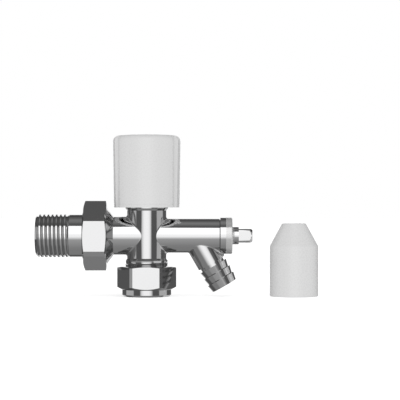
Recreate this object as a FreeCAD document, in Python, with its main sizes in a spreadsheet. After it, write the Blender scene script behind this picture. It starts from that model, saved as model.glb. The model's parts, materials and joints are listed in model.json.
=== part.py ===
import FreeCAD
import Part
import Sketcher
import math
import os
import re

# A radiator valve with a handwheel, a union for the radiator, a compression end for the pipe and
# a drain arm with a hose nozzle. A loose lockshield cap stands beside it.
# The origin is on the vertical axis at the foot of the compression nut. +Z is up, +X points along
# the drain arm, and the radiator is on the -X side.

# Driving sizes, in millimetres unless the name says degrees or count
SIZES = {
    # Fits
    "running_clearance": 0.05,
    "free_gap": 0.3,
    "overcut": 1.0,
    # Pipe and compression end
    "pipe_radius": 7.5,
    "socket_stop": 18.0,
    "body_foot": 7.5,
    "mouth_depth": 1.7,
    "mouth_radius": 8.7,
    "foot_bevel": 0.6,
    "pipe_thread_radius": 10.1,
    "thread_relief": 2.6,
    "nut_skirt_radius": 11.95,
    "nut_skirt_height": 3.3,
    "nut_skirt_rounding": 0.9,
    "compression_flats": 25.5,
    "compression_height": 14.4,
    "compression_bevel": 0.95,
    "compression_floor": 2.6,
    "compression_chamfer_degrees": 30.0,
    "compression_top_chamfer_degrees": 18.0,
    "compression_cone_height": 2.4,
    "olive_foot": 3.4,
    "olive_height": 5.2,
    "olive_radius": 8.5,
    "olive_end_radius": 7.8,
    "olive_taper": 1.5,
    # Body: vertical run
    "arm_height": 29.25,
    "seat_drop": 6.75,
    "port_radius": 4.5,
    "chamber_radius": 6.9,
    "neck_height": 16.75,
    "headwork_depth": 10.0,
    "bonnet_thread_radius": 7.2,
    "neck_radius": 9.55,
    "neck_cone_height": 1.1,
    "flange_thickness": 0.4,
    "flange_drop": 3.1,
    "flange_radius": 10.4,
    "lip_radius": 9.55,
    "forging_fillet": 1.0,
    "snap_groove_radius": 9.0,
    "snap_groove_rise": 1.2,
    "snap_groove_width": 1.2,
    # Body: radiator arm
    "radiator_arm_radius": 9.25,
    "radiator_bore_radius": 6.2,
    "union_cone_setback": 9.3,
    "union_cone_length": 3.1,
    "union_cone_radius": 13.4,
    "union_thread_radius": 12.9,
    "radiator_arm_length": 25.2,
    # Union
    "seal_thickness": 1.5,
    "seal_outer_radius": 11.7,
    "seal_inner_radius": 6.5,
    "collar_radius": 12.0,
    "collar_thickness": 2.3,
    "tail_plain_radius": 10.3,
    "tail_length": 24.3,
    "tail_thread_radius": 10.48,
    "tail_thread_root": 9.4,
    "tail_thread_pitch": 2.0,
    "tail_thread_count": 7,
    "tail_crest_width": 0.4,
    "tail_lead_length": 1.8,
    "tail_lead_depth": 1.2,
    "tail_runout_radius": 9.7,
    "tail_runout_width": 0.8,
    "tail_bore_radius": 5.6,
    "tail_key_flats": 12.0,
    "tail_key_depth": 12.0,
    "union_flats": 30.4,
    "union_right_setback": 6.1,
    "union_shoulder": 1.5,
    "union_bevel": 1.55,
    "union_face_inset": 1.1,
    "union_chamfer_degrees": 19.0,
    # Body: drain arm
    "drain_arm_radius": 8.27,
    "drain_groove_width": 0.4,
    "drain_groove_radius": 7.6,
    "drain_groove_degrees": 300.0,
    "drain_collar_radius": 8.85,
    "drain_collar_width": 2.7,
    "drain_arm_length": 38.2,
    "drain_port_radius": 3.0,
    "drain_seat": 12.8,
    "drain_chamber_radius": 6.0,
    "drain_seal_recess": 7.2,
    "drain_seal_depth": 1.1,
    # Hose nozzle
    "nozzle_tilt_degrees": 30.0,
    "nozzle_radius": 7.1,
    "nozzle_setback": 14.6,
    "nozzle_shank": 15.3,
    "nozzle_groove_radius": 6.1,
    "nozzle_barb_start": 16.85,
    "nozzle_barb_radius": 7.2,
    "nozzle_barb_small": 6.4,
    "nozzle_barb_pitch": 3.57,
    "nozzle_end": 27.77,
    "nozzle_bore_radius": 4.0,
    "nozzle_bore_length": 13.27,
    "nozzle_port_radius": 3.2,
    "barb_count": 3,
    # Headwork and main spindle
    "bonnet_hex_flats": 16.0,
    "bonnet_hex_height": 4.2,
    "bonnet_seal_thickness": 0.8,
    "bonnet_seal_radius": 9.2,
    "spindle_radius": 3.0,
    "spindle_thread_radius": 4.4,
    "spindle_thread_length": 7.0,
    "spindle_collar_length": 3.8,
    "spindle_stand": 13.0,
    "spindle_square_rise": 1.0,
    "spindle_foot_radius": 3.6,
    "spindle_square": 4.4,
    "spindle_lift": 4.5,
    "stem_guide_drop": 4.0,
    "ring_groove_rise": 0.6,
    "ring_groove_width": 1.7,
    "ring_groove_radius": 4.65,
    "ring_section_radius": 0.75,
    "seat_washer_radius": 5.4,
    "seat_washer_thickness": 1.6,
    "jumper_radius": 5.6,
    "jumper_thickness": 1.8,
    "jumper_stem_radius": 1.5,
    "jumper_stem_length": 5.0,
    "screw_radius": 1.1,
    "screw_length": 2.6,
    "screw_head_radius": 2.4,
    "screw_head_height": 1.0,
    "screw_slot_width": 0.6,
    "screw_slot_depth": 0.5,
    # Drain gland and drain spindle
    "gland_ring_radius": 8.85,
    "gland_ring_width": 3.1,
    "gland_thread_length": 6.0,
    "gland_nose_length": 3.7,
    "gland_ring_rounding": 0.4,
    "gland_nose_radius": 4.9,
    "gland_shoulder_depth": 6.9,
    "gland_groove_depth": 9.0,
    "gland_groove_width": 1.5,
    "gland_groove_radius": 4.0,
    "drain_ring_section": 0.43,
    "drain_thread_radius": 4.25,
    "drain_stem_radius": 3.0,
    "drain_thread_depth": 6.5,
    "drain_square_rise": 6.15,
    "drain_spindle_reach": 12.8,
    "drain_square_flats": 6.6,
    "drain_square_chamfer": 1.8,
    "drain_washer_radius": 4.4,
    "drain_washer_thickness": 1.5,
    "drain_jumper_radius": 4.6,
    "drain_jumper_thickness": 2.0,
    "drain_jumper_stem_radius": 1.4,
    "drain_jumper_stem_length": 4.5,
    "drain_nub_radius": 1.1,
    # Handwheel
    "wheel_foot_radius": 15.85,
    "wheel_top_radius": 16.3,
    "wheel_rounding": 2.8,
    "wheel_wall": 2.2,
    "wheel_height": 34.7,
    "wheel_roof": 2.6,
    "wheel_lip_height": 1.6,
    "wheel_lip_step": 0.1,
    "flute_radius": 4.0,
    "flute_offset": 19.24,
    "flute_count": 3,
    "wheel_hub_radius": 5.2,
    "wheel_hub_rise": 0.8,
    "wheel_rib_rise": 0.4,
    "wheel_socket_room": 0.8,
    "wheel_rib_thickness": 1.3,
    "wheel_rib_count": 6,
    "wheel_rib_root": 0.5,
    "sleeve_inner_radius": 9.95,
    "sleeve_wall": 1.5,
    "sleeve_rise": 1.6,
    "snap_lug_radius": 9.3,
    "snap_lug_width": 4.0,
    "snap_lug_side_gap": 0.25,
    # Lockshield cap
    "cap_distance": 71.08,
    "cap_radius": 11.7,
    "cap_straight": 24.3,
    "cap_height": 35.2,
    "cap_top_radius": 5.9,
    "cap_wall": 1.4,
    "cap_edge_bevel": 0.3,
    "cap_bead_height": 2.0,
    "cap_bead_rise": 0.3,
}

# Sizes and places that follow from the driving sizes
PLACES = {
    # Upright run, from the foot up
    "pipe_bore": "pipe_radius + running_clearance",
    "nut_thread": "pipe_thread_radius + running_clearance",
    "pipe_thread_top": "arm_height - radiator_arm_radius - thread_relief",
    "seat_height": "arm_height - seat_drop",
    "neck_top": "arm_height + neck_height",
    "flange_top": "neck_top - flange_drop",
    "flange_foot": "flange_top - flange_thickness",
    "neck_cone_foot": "flange_foot - neck_cone_height",
    "snap_groove_foot": "flange_top + snap_groove_rise",
    "bonnet_shoulder": "neck_top - headwork_depth",
    # Union, from the upright axis outwards
    "union_cone_start": "radiator_arm_length - union_cone_setback",
    "union_cone_end": "union_cone_start + union_cone_length",
    "union_right_face": "radiator_arm_length - union_right_setback",
    "union_thread": "union_thread_radius + running_clearance",
    "seal_face": "radiator_arm_length + seal_thickness",
    "collar_back": "seal_face + collar_thickness",
    "union_left": "collar_back + union_shoulder",
    "tail_hole": "tail_thread_radius + free_gap",
    "tail_end": "collar_back + tail_length",
    "tail_thread_end": "tail_end - tail_lead_length",
    "tail_thread_start": "tail_thread_end - tail_thread_count * tail_thread_pitch - tail_crest_width",
    "tail_runout_start": "tail_thread_start - tail_runout_width",
    # Headwork and main spindle
    "bonnet_seat": "neck_top + bonnet_seal_thickness",
    "bonnet_top": "bonnet_seat + bonnet_hex_height",
    "bonnet_body": "bonnet_thread_radius - running_clearance",
    "stem_guide_foot": "neck_top - stem_guide_drop",
    "ring_groove_foot": "neck_top + ring_groove_rise",
    "washer_top": "seat_height + seat_washer_thickness",
    "jumper_top": "washer_top + jumper_thickness",
    "spindle_foot": "jumper_top + free_gap",
    "spindle_thread_foot": "spindle_foot + spindle_collar_length",
    "spindle_thread_top": "spindle_thread_foot + spindle_thread_length",
    "spindle_square_foot": "bonnet_top + spindle_square_rise",
    "spindle_top": "bonnet_top + spindle_stand",
    # Drain arm, from the upright axis outwards
    "drain_washer_end": "drain_seat + drain_washer_thickness",
    "drain_jumper_end": "drain_washer_end + drain_jumper_thickness",
    "drain_stem_start": "drain_jumper_end + free_gap",
    "collar_start": "drain_arm_length - drain_collar_width",
    "groove_start": "collar_start - drain_groove_width",
    "nozzle_start": "drain_arm_length - nozzle_setback",
    "gland_body": "drain_chamber_radius - running_clearance",
    "gland_ring_end": "drain_arm_length + gland_ring_width",
    "gland_thread_start": "drain_arm_length - gland_thread_length",
    "gland_nose_start": "gland_thread_start - gland_nose_length",
    "gland_shoulder": "drain_arm_length - gland_shoulder_depth",
    "gland_groove_start": "drain_arm_length - gland_groove_depth",
    "drain_thread_start": "drain_arm_length - drain_thread_depth",
    "drain_square_start": "drain_arm_length + drain_square_rise",
    "drain_square_end": "drain_arm_length + drain_spindle_reach",
    # Handwheel
    "wheel_foot": "flange_top",
    "wheel_top": "wheel_foot + wheel_height",
    "wheel_inner": "wheel_foot_radius - wheel_wall",
    "wheel_ceiling": "wheel_top - wheel_roof",
    "wheel_hub_foot": "bonnet_top + wheel_hub_rise",
    "wheel_rib_foot": "bonnet_top + wheel_rib_rise",
    "wheel_socket_top": "spindle_top + spindle_lift + wheel_socket_room",
    "sleeve_outer": "sleeve_inner_radius + sleeve_wall",
    "sleeve_foot": "wheel_foot + free_gap",
    "sleeve_top": "bonnet_top + sleeve_rise",
    # Lockshield cap
    "cap_inner": "cap_radius - cap_wall",
    "cap_inner_top": "cap_top_radius - cap_wall",
}

FULL_TURN = 360
HEX_SIDES = 6
SQUARE_SIDES = 4
POINT_TOLERANCE = 1e-4

doc = FreeCAD.newDocument("RadiatorValve")
sheet = doc.addObject("Spreadsheet::Sheet", "Sizes")


def fill_sheet():
    """One row for each size or place: its name, then its value or its formula."""
    rows = list(SIZES.items()) + [(alias, "=" + formula) for alias, formula in PLACES.items()]
    for row, (alias, content) in enumerate(rows, start=1):
        sheet.set(f"A{row}", alias)
        sheet.setAlias(f"B{row}", alias)
        sheet.set(f"B{row}", str(content))
    doc.recompute()


def bound(text):
    """The expression with each name in the sheet turned into its cell."""
    def cell(word):
        known = word[0] in SIZES or word[0] in PLACES
        return "Sizes." + word[0] if known else word[0]
    return re.sub(r"[a-z][a-z_]+", cell, str(text))


def value(text):
    """The number that an expression gives now."""
    result = sheet.evalExpression(bound(text))
    return float(getattr(result, "Value", result))


def tie(thing, name, text):
    """Binds a property to an expression of the driving sizes."""
    thing.setExpression(name, bound(text))


def place(thing, along_x="0", along_z="0", turn_y="0"):
    """Puts a piece at a place on the XZ plane, turned about Y by an angle in degrees."""
    spot = f"vector({bound(along_x)}; 0; {bound(along_z)})"
    turn = f"rotation(vector(0; 1; 0); {bound(turn_y)})"
    thing.setExpression("Placement", f"placement({spot}; {turn})")


def new_piece(name):
    """A new body for one physical piece. Its label names its file."""
    body = doc.addObject("PartDesign::Body", name)
    body.Label = name
    return body


def new_sketch(body, name, role="XZ_Plane", shift=("0", "0", "0"), turn="0"):
    """A sketch on one of the body's own origin planes, shifted and turned in that plane."""
    sketch = body.newObject("Sketcher::SketchObject", name)
    plane = next(feature for feature in body.Origin.OriginFeatures if feature.Role == role)
    sketch.AttachmentSupport = [(plane, "")]
    sketch.MapMode = "FlatFace"
    spot = "; ".join(bound(part) for part in shift)
    rotation = f"rotation(vector(0; 0; 1); {bound(turn)})"
    sketch.setExpression("AttachmentOffset", f"placement(vector({spot}); {rotation})")
    return sketch


def outline(sketch, points):
    """A closed outline of straight lines through points given as pairs of expressions."""
    start = len(sketch.Geometry)
    spots = [FreeCAD.Vector(value(across), value(along), 0) for across, along in points]
    count = len(points)
    for index in range(count):
        sketch.addGeometry(Part.LineSegment(spots[index], spots[(index + 1) % count]), False)
    for index in range(count):
        following = start + (index + 1) % count
        sketch.addConstraint(Sketcher.Constraint("Coincident", start + index, 2, following, 1))
    for index, (across, along) in enumerate(points):
        for kind, text in (("DistanceX", across), ("DistanceY", along)):
            rule = Sketcher.Constraint(kind, -1, 1, start + index, 1, value(text))
            number = sketch.addConstraint(rule)
            tie(sketch, f"Constraints[{number}]", text)


def circle(sketch, across, along, radius):
    """A circle whose centre and radius are expressions."""
    centre = FreeCAD.Vector(value(across), value(along), 0)
    index = sketch.addGeometry(Part.Circle(centre, FreeCAD.Vector(0, 0, 1), value(radius)), False)
    for kind, text in (("DistanceX", across), ("DistanceY", along)):
        number = sketch.addConstraint(Sketcher.Constraint(kind, -1, 1, index, 3, value(text)))
        tie(sketch, f"Constraints[{number}]", text)
    number = sketch.addConstraint(Sketcher.Constraint("Radius", index, value(radius)))
    tie(sketch, f"Constraints[{number}]", radius)


def polygon_points(flats, sides, first_degrees=0):
    """Corner points of a regular polygon that is flats wide, the first at the given angle."""
    corners = []
    for index in range(sides):
        angle = first_degrees + FULL_TURN / sides * index
        reach = f"({flats}) / 2 / cos({FULL_TURN / 2 / sides})"
        corners.append((f"{reach} * cos({angle})", f"{reach} * sin({angle})"))
    return corners


def revolve(body, name, points, shift=("0", "0", "0"), turn="0", cut=False, sweep=FULL_TURN):
    """Turns an outline of (radius, height) points about the sketch's upright axis.

    A sweep of less than a full turn goes half to each side of the outline.
    """
    sketch = new_sketch(body, name + "Outline", "XZ_Plane", shift, turn)
    outline(sketch, points)
    kind = "PartDesign::Groove" if cut else "PartDesign::Revolution"
    before = body.Shape.Volume if cut else 0.0
    feature = body.newObject(kind, name)
    feature.Profile = sketch
    feature.ReferenceAxis = (sketch, ["V_Axis"])
    feature.Midplane = sweep != FULL_TURN
    tie(feature, "Angle", sweep)
    doc.recompute()
    if cut and not feature.Shape.Volume < before:
        raise RuntimeError(f"{name} cuts nothing")
    return feature


def pad(body, name, sketch, length):
    """Extrudes a sketch along its normal."""
    feature = body.newObject("PartDesign::Pad", name)
    feature.Profile = sketch
    tie(feature, "Length", length)
    doc.recompute()
    return feature


def pocket(body, name, sketch, depth, reverse=False):
    """Cuts a sketch into the body, and makes sure that it does cut."""
    before = body.Shape.Volume
    feature = body.newObject("PartDesign::Pocket", name)
    feature.Profile = sketch
    feature.Reversed = reverse
    tie(feature, "Length", depth)
    doc.recompute()
    if not feature.Shape.Volume < before:
        raise RuntimeError(f"{name} cuts nothing")
    return feature


def repeat(body, name, feature, count):
    """Repeats a feature round the body's Z axis."""
    pattern = body.newObject("PartDesign::PolarPattern", name)
    pattern.Originals = [feature]
    axis = next(line for line in body.Origin.OriginFeatures if line.Role == "Z_Axis")
    pattern.Axis = (axis, [""])
    pattern.Angle = FULL_TURN
    tie(pattern, "Occurrences", count)
    body.Tip = pattern
    doc.recompute()
    return pattern


def edges_where(body, test):
    """Names of the edges of the body's tip that pass a test."""
    return [f"Edge{number}" for number, edge in enumerate(body.Tip.Shape.Edges, start=1) if test(edge)]


def dress(body, kind, name, edges, size):
    """A fillet or a chamfer along named edges."""
    if not edges:
        raise RuntimeError(f"{name} finds no edge")
    base = body.Tip
    feature = body.newObject(f"PartDesign::{kind}", name)
    feature.Base = (base, edges)
    tie(feature, "Radius" if kind == "Fillet" else "Size", size)
    doc.recompute()
    return feature


def is_circle(edge, radius, height):
    """True for a full circle round the piece's own Z axis with this radius at this height."""
    curve = edge.Curve
    if not isinstance(curve, Part.Circle):
        return False
    same_radius = abs(curve.Radius - value(radius)) < POINT_TOLERANCE
    return same_radius and abs(curve.Center.z - value(height)) < POINT_TOLERANCE


def is_upright(edge, reach):
    """True for a straight edge along Z at this distance from the axis."""
    first, last = edge.Vertexes[0].Point, edge.Vertexes[-1].Point
    same_spot = math.hypot(first.x - last.x, first.y - last.y) < POINT_TOLERANCE
    return same_spot and abs(math.hypot(first.x, first.y) - value(reach)) < POINT_TOLERANCE


def is_forged_corner(edge):
    """True for the curve along which two of the body's round runs meet."""
    return not isinstance(edge.Curve, (Part.Circle, Part.Line))


def is_nozzle_root(edge):
    """True for the curve along which the nozzle meets the drain arm."""
    return is_forged_corner(edge) and edge.BoundBox.XMin > value("nozzle_start - nozzle_radius")


def turned_piece(name, points, along_x="0", along_z="0", turn_y="0"):
    """A piece that is one turned outline."""
    body = new_piece(name)
    revolve(body, name + "_turned", points)
    place(body, along_x, along_z, turn_y)
    return body


def hex_corner(flats):
    """The distance from the axis to a corner of a hexagon that is flats wide."""
    return f"({flats}) / 2 / cos({FULL_TURN / 2 / HEX_SIDES})"


def hex_blank(body, name, flats, foot, height, bevel, corner_degrees=0):
    """A hexagon bar with bevelled edges. Its first corner is corner_degrees round from X."""
    sketch = new_sketch(body, name + "Hexagon", "XY_Plane", ("0", "0", foot))
    outline(sketch, polygon_points(flats, HEX_SIDES, corner_degrees))
    pad(body, name + "Bar", sketch, height)
    edges = edges_where(body, lambda edge: is_upright(edge, hex_corner(flats)))
    dress(body, "Chamfer", name + "Bevel", edges, bevel)


# Valve body
LEVEL = ("0", "arm_height", "0")
TOWARDS_RADIATOR = "90"
TOWARDS_DRAIN = "-90"
SLANT_SPOT = ("nozzle_start", "arm_height", "0")
SLANT = "nozzle_tilt_degrees - 180"


def build_body():
    """The forged body: an upright run, two arms and the hose nozzle, then its bores."""
    body = new_piece("valve_body")
    add_upright_run(body)
    add_radiator_arm(body)
    revolve(body, "DrainArm", [
        ("0", "0"),
        ("drain_arm_radius", "0"),
        ("drain_arm_radius", "drain_arm_length"),
        ("0", "drain_arm_length"),
    ], LEVEL, TOWARDS_DRAIN)
    dress(body, "Fillet", "NeckFillets", edges_where(body, is_forged_corner), "forging_fillet")
    revolve(body, "Nozzle", nozzle_points(), SLANT_SPOT, SLANT)
    dress(body, "Fillet", "NozzleFillet", edges_where(body, is_nozzle_root), "forging_fillet")
    add_drain_collar(body)
    bore_upright(body)
    bore_arms(body)
    place(body)


def add_upright_run(body):
    """The run from the pipe thread to the neck, with the wheel's flange and snap groove."""
    revolve(body, "UprightRun", [
        ("0", "body_foot"),
        ("pipe_thread_radius - foot_bevel", "body_foot"),
        ("pipe_thread_radius", "body_foot + foot_bevel"),
        ("pipe_thread_radius", "pipe_thread_top"),
        ("neck_radius", "pipe_thread_top + pipe_thread_radius - neck_radius"),
        ("neck_radius", "neck_cone_foot"),
        ("flange_radius", "flange_foot"),
        ("flange_radius", "flange_top"),
        ("lip_radius", "flange_top"),
        ("lip_radius", "snap_groove_foot"),
        ("snap_groove_radius", "snap_groove_foot"),
        ("snap_groove_radius", "snap_groove_foot + snap_groove_width"),
        ("lip_radius", "snap_groove_foot + snap_groove_width"),
        ("lip_radius", "neck_top"),
        ("0", "neck_top"),
    ])


def add_radiator_arm(body):
    """The arm to the radiator, which widens to the union thread."""
    revolve(body, "RadiatorArm", [
        ("0", "0"),
        ("radiator_arm_radius", "0"),
        ("radiator_arm_radius", "union_cone_start"),
        ("union_cone_radius", "union_cone_end"),
        ("union_thread_radius", "union_cone_end"),
        ("union_thread_radius", "radiator_arm_length - free_gap"),
        ("union_thread_radius - free_gap", "radiator_arm_length"),
        ("0", "radiator_arm_length"),
    ], LEVEL, TOWARDS_RADIATOR)


def nozzle_points():
    """The outline of the hose nozzle: a shank, a groove and a row of barbs."""
    points = [
        ("0", "0"),
        ("nozzle_radius", "0"),
        ("nozzle_radius", "nozzle_shank"),
        ("nozzle_groove_radius", "nozzle_shank"),
        ("nozzle_groove_radius", "nozzle_barb_start"),
    ]
    barbs = int(value("barb_count"))
    for index in range(barbs):
        start = f"nozzle_barb_start + {index} * nozzle_barb_pitch"
        end = f"nozzle_barb_start + {index + 1} * nozzle_barb_pitch"
        points.append(("nozzle_barb_radius", start))
        points.append(("nozzle_barb_small", end if index + 1 < barbs else "nozzle_end"))
    points.append(("0", "nozzle_end"))
    return points


def add_drain_collar(body):
    """The collar at the end of the drain arm, and the groove that parts it from the nozzle."""
    revolve(body, "DrainCollar", [
        ("0", "collar_start"),
        ("drain_collar_radius", "collar_start"),
        ("drain_collar_radius", "drain_arm_length"),
        ("0", "drain_arm_length"),
    ], LEVEL, TOWARDS_DRAIN)
    revolve(body, "CollarGroove", [
        ("-drain_groove_radius", "(groove_start + collar_start) / 2"),
        ("-drain_arm_radius", "groove_start"),
        ("-drain_collar_radius", "groove_start"),
        ("-drain_collar_radius", "collar_start"),
        ("-drain_arm_radius", "collar_start"),
    ], LEVEL, TOWARDS_DRAIN, cut=True, sweep="drain_groove_degrees")


def bore_upright(body):
    """The pipe socket with its mouth, the port, the chamber above the seat and the neck."""
    revolve(body, "UprightBore", [
        ("0", "body_foot - overcut"),
        ("mouth_radius", "body_foot - overcut"),
        ("mouth_radius", "body_foot"),
        ("pipe_bore", "body_foot + mouth_depth"),
        ("pipe_bore", "socket_stop"),
        ("port_radius", "socket_stop"),
        ("port_radius", "seat_height"),
        ("chamber_radius", "seat_height"),
        ("chamber_radius", "bonnet_shoulder"),
        ("bonnet_thread_radius", "bonnet_shoulder"),
        ("bonnet_thread_radius", "neck_top + overcut"),
        ("0", "neck_top + overcut"),
    ], cut=True)


def bore_arms(body):
    """The waterways of the radiator arm, the drain arm and the nozzle."""
    revolve(body, "RadiatorBore", [
        ("0", "0"),
        ("radiator_bore_radius", "0"),
        ("radiator_bore_radius", "radiator_arm_length + overcut"),
        ("0", "radiator_arm_length + overcut"),
    ], LEVEL, TOWARDS_RADIATOR, cut=True)
    revolve(body, "DrainBore", [
        ("0", "0"),
        ("drain_port_radius", "0"),
        ("drain_port_radius", "drain_seat"),
        ("drain_chamber_radius", "drain_seat"),
        ("drain_chamber_radius", "drain_arm_length - drain_seal_depth"),
        ("drain_seal_recess", "drain_arm_length - drain_seal_depth"),
        ("drain_seal_recess", "drain_arm_length + overcut"),
        ("0", "drain_arm_length + overcut"),
    ], LEVEL, TOWARDS_DRAIN, cut=True)
    revolve(body, "NozzleBore", [
        ("0", "0"),
        ("nozzle_port_radius", "0"),
        ("nozzle_port_radius", "nozzle_end - nozzle_bore_length"),
        ("nozzle_bore_radius", "nozzle_end - nozzle_bore_length"),
        ("nozzle_bore_radius", "nozzle_end + overcut"),
        ("0", "nozzle_end + overcut"),
    ], SLANT_SPOT, SLANT, cut=True)


# Union
def build_union():
    """The radiator tail, its seal and the union nut, all about the radiator arm's axis."""
    tail = new_piece("radiator_tail")
    revolve(tail, "TailTurned", tail_points())
    key = new_sketch(tail, "KeySocketOutline", "XY_Plane", ("0", "0", "tail_end"))
    outline(key, polygon_points("tail_key_flats", HEX_SIDES))
    pocket(tail, "KeySocket", key, "tail_key_depth")
    place(tail, "0", "arm_height", "-90")

    turned_piece("union_seal", [
        ("seal_inner_radius", "radiator_arm_length"),
        ("seal_outer_radius", "radiator_arm_length"),
        ("seal_outer_radius", "seal_face"),
        ("seal_inner_radius", "seal_face"),
    ], "0", "arm_height", "-90")
    build_union_nut()


def tail_points():
    """The outline of the tail: a collar, a plain stretch, a runout groove and the thread's crests."""
    points = [
        ("tail_bore_radius", "seal_face"),
        ("collar_radius", "seal_face"),
        ("collar_radius", "collar_back"),
        ("tail_plain_radius", "collar_back"),
        ("tail_plain_radius", "tail_runout_start"),
        ("tail_runout_radius", "tail_thread_start - tail_runout_width / 2"),
    ]
    for index in range(int(value("tail_thread_count"))):
        crest = f"tail_thread_start + {index} * tail_thread_pitch"
        points.append(("tail_thread_radius", crest))
        points.append(("tail_thread_radius", f"{crest} + tail_crest_width"))
        points.append(("tail_thread_root", f"{crest} + (tail_crest_width + tail_thread_pitch) / 2"))
    points += [
        ("tail_thread_radius", "tail_thread_end - tail_crest_width"),
        ("tail_thread_radius", "tail_thread_end"),
        ("tail_thread_radius - tail_lead_depth", "tail_end"),
        ("tail_bore_radius", "tail_end"),
    ]
    return points


def build_union_nut():
    """The nut that draws the tail's collar to the arm, bevelled more on the radiator side."""
    nut = new_piece("union_nut")
    thickness = "union_left - union_right_face"
    hex_blank(nut, "Union", "union_flats", "union_right_face", thickness, "union_bevel")
    reach = hex_corner("union_flats") + " + overcut"
    slope = "tan(union_chamfer_degrees)"
    inset = "union_flats / 2 - union_face_inset"
    revolve(nut, "UnionLeftChamfer", [
        (inset, "union_left"),
        (reach, f"union_left - ({reach} - ({inset})) * {slope}"),
        (reach, "union_left + overcut"),
        (inset, "union_left + overcut"),
    ], cut=True)
    revolve(nut, "UnionRightChamfer", [
        ("union_flats / 2", "union_right_face - overcut"),
        (reach, "union_right_face - overcut"),
        (reach, f"union_right_face + ({reach} - union_flats / 2) * {slope}"),
        ("union_flats / 2", "union_right_face"),
    ], cut=True)
    revolve(nut, "UnionBore", [
        ("0", "union_right_face - overcut"),
        ("union_thread", "union_right_face - overcut"),
        ("union_thread", "collar_back"),
        ("tail_hole", "collar_back"),
        ("tail_hole", "union_left + overcut"),
        ("0", "union_left + overcut"),
    ], cut=True)
    place(nut, "0", "arm_height", "-90")


# Compression end
def build_compression():
    """The compression nut and the olive that it presses onto the pipe."""
    nut = new_piece("compression_nut")
    hex_blank(
        nut, "Compression", "compression_flats", "nut_skirt_height",
        "compression_height - nut_skirt_height", "compression_bevel",
    )
    reach = hex_corner("compression_flats") + " + overcut"
    lower_slope = "tan(compression_chamfer_degrees)"
    upper_slope = "tan(compression_top_chamfer_degrees)"
    revolve(nut, "Skirt", [
        ("0", "0"),
        ("nut_skirt_radius - nut_skirt_rounding", "0"),
        ("nut_skirt_radius", "nut_skirt_rounding"),
        ("nut_skirt_radius", "nut_skirt_height"),
        ("0", "nut_skirt_height"),
    ])
    revolve(nut, "LowerChamfer", [
        ("nut_skirt_radius", "nut_skirt_height"),
        (reach, "nut_skirt_height"),
        (reach, f"nut_skirt_height + ({reach} - nut_skirt_radius) * {lower_slope}"),
    ], cut=True)
    revolve(nut, "UpperChamfer", [
        ("compression_flats / 2", "compression_height"),
        (reach, f"compression_height - ({reach} - compression_flats / 2) * {upper_slope}"),
        (reach, "compression_height + overcut"),
        ("compression_flats / 2", "compression_height + overcut"),
    ], cut=True)
    cone_rise = "(mouth_radius - pipe_bore)"
    revolve(nut, "CompressionBore", [
        ("0", "-overcut"),
        ("pipe_bore", "-overcut"),
        ("pipe_bore", "compression_floor"),
        ("mouth_radius", f"compression_floor + {cone_rise}"),
        ("mouth_radius", "compression_floor + compression_cone_height"),
        ("nut_thread", "compression_floor + compression_cone_height"),
        ("nut_thread", "compression_height + overcut"),
        ("0", "compression_height + overcut"),
    ], cut=True)
    place(nut)
    turned_piece("compression_olive", [
        ("pipe_bore", "olive_foot"),
        ("olive_end_radius", "olive_foot"),
        ("olive_radius", "olive_foot + olive_taper"),
        ("olive_radius", "olive_foot + olive_height - olive_taper"),
        ("olive_end_radius", "olive_foot + olive_height"),
        ("pipe_bore", "olive_foot + olive_height"),
    ])


# Headwork
def build_headwork():
    """The headwork that screws into the neck, with its seals."""
    bonnet = new_piece("main_bonnet")
    seat = new_sketch(bonnet, "HeadOutline", "XY_Plane", ("0", "0", "bonnet_seat"))
    outline(seat, polygon_points("bonnet_hex_flats", HEX_SIDES))
    pad(bonnet, "Head", seat, "bonnet_hex_height")
    revolve(bonnet, "HeadworkBarrel", [
        ("0", "bonnet_shoulder + free_gap"),
        ("bonnet_body", "bonnet_shoulder + free_gap"),
        ("bonnet_body", "bonnet_seat"),
        ("0", "bonnet_seat"),
    ])
    stem_hole = "spindle_radius + running_clearance"
    revolve(bonnet, "HeadworkBore", [
        ("0", "bonnet_shoulder - overcut"),
        ("spindle_thread_radius + running_clearance", "bonnet_shoulder - overcut"),
        ("spindle_thread_radius + running_clearance", "stem_guide_foot"),
        (stem_hole, "stem_guide_foot"),
        (stem_hole, "ring_groove_foot"),
        ("ring_groove_radius", "ring_groove_foot"),
        ("ring_groove_radius", "ring_groove_foot + ring_groove_width"),
        (stem_hole, "ring_groove_foot + ring_groove_width"),
        (stem_hole, "bonnet_top + overcut"),
        ("0", "bonnet_top + overcut"),
    ], cut=True)
    place(bonnet)
    turned_piece("bonnet_seal", [
        ("bonnet_thread_radius + running_clearance", "neck_top"),
        ("bonnet_seal_radius", "neck_top"),
        ("bonnet_seal_radius", "bonnet_seat"),
        ("bonnet_thread_radius + running_clearance", "bonnet_seat"),
    ])
    ring_piece(
        "spindle_o_ring", "spindle_radius + ring_section_radius + running_clearance * 2",
        "ring_section_radius", "0", "ring_groove_foot + ring_groove_width / 2", "0",
    )


def ring_piece(name, ring_radius, section_radius, along_x, along_z, turn_y):
    """A round-section seal ring."""
    ring = doc.addObject("Part::Torus", name)
    ring.Label = name
    tie(ring, "Radius1", ring_radius)
    tie(ring, "Radius2", section_radius)
    place(ring, along_x, along_z, turn_y)
    return ring


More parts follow.
